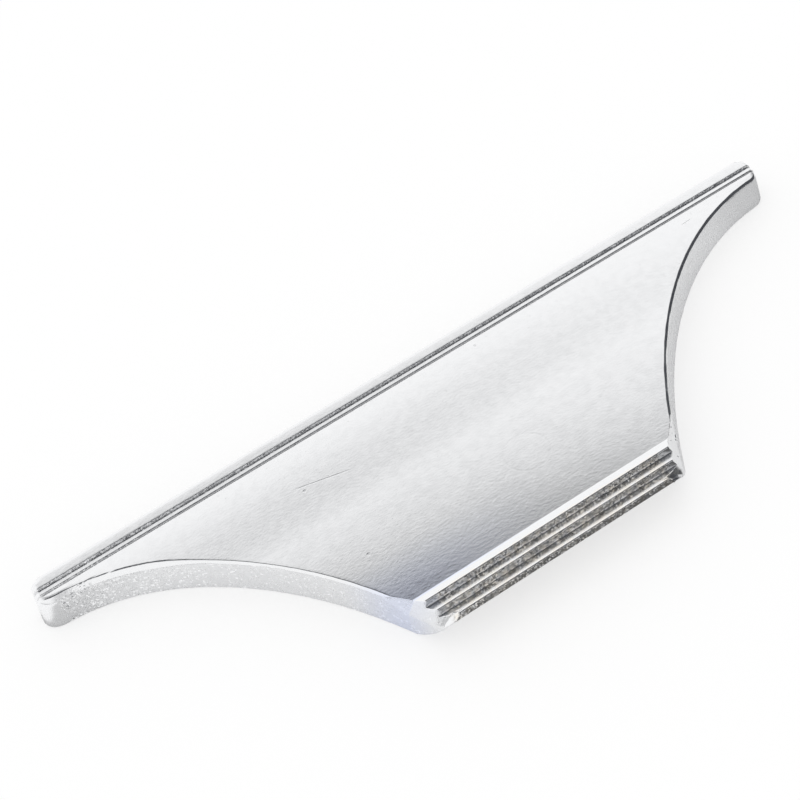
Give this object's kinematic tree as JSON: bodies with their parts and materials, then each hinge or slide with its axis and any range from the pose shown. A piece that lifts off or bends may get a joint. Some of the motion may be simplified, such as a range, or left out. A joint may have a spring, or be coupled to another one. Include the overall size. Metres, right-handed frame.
{
  "type": "cabinet pull",
  "caption": "Flat metal cabinet pull whose plate narrows in two concave sweeps from a long beaded edge to a short saw-tooth finger lip.",
  "frame": {"origin": "middle of the footprint, on the flat back face", "axes": "+X along the long beaded edge, +Y across the plate towards that edge and away from the finger lip, +Z out of the back towards the front"},
  "size_m": [0.1014, 0.034, 0.0054],
  "materials": {
    "plated_casting": "bright plated casting with a fine pebbled skin"
  },
  "bodies": {
    "root": {"pull": "plated_casting"}
  },
  "joints": []
}
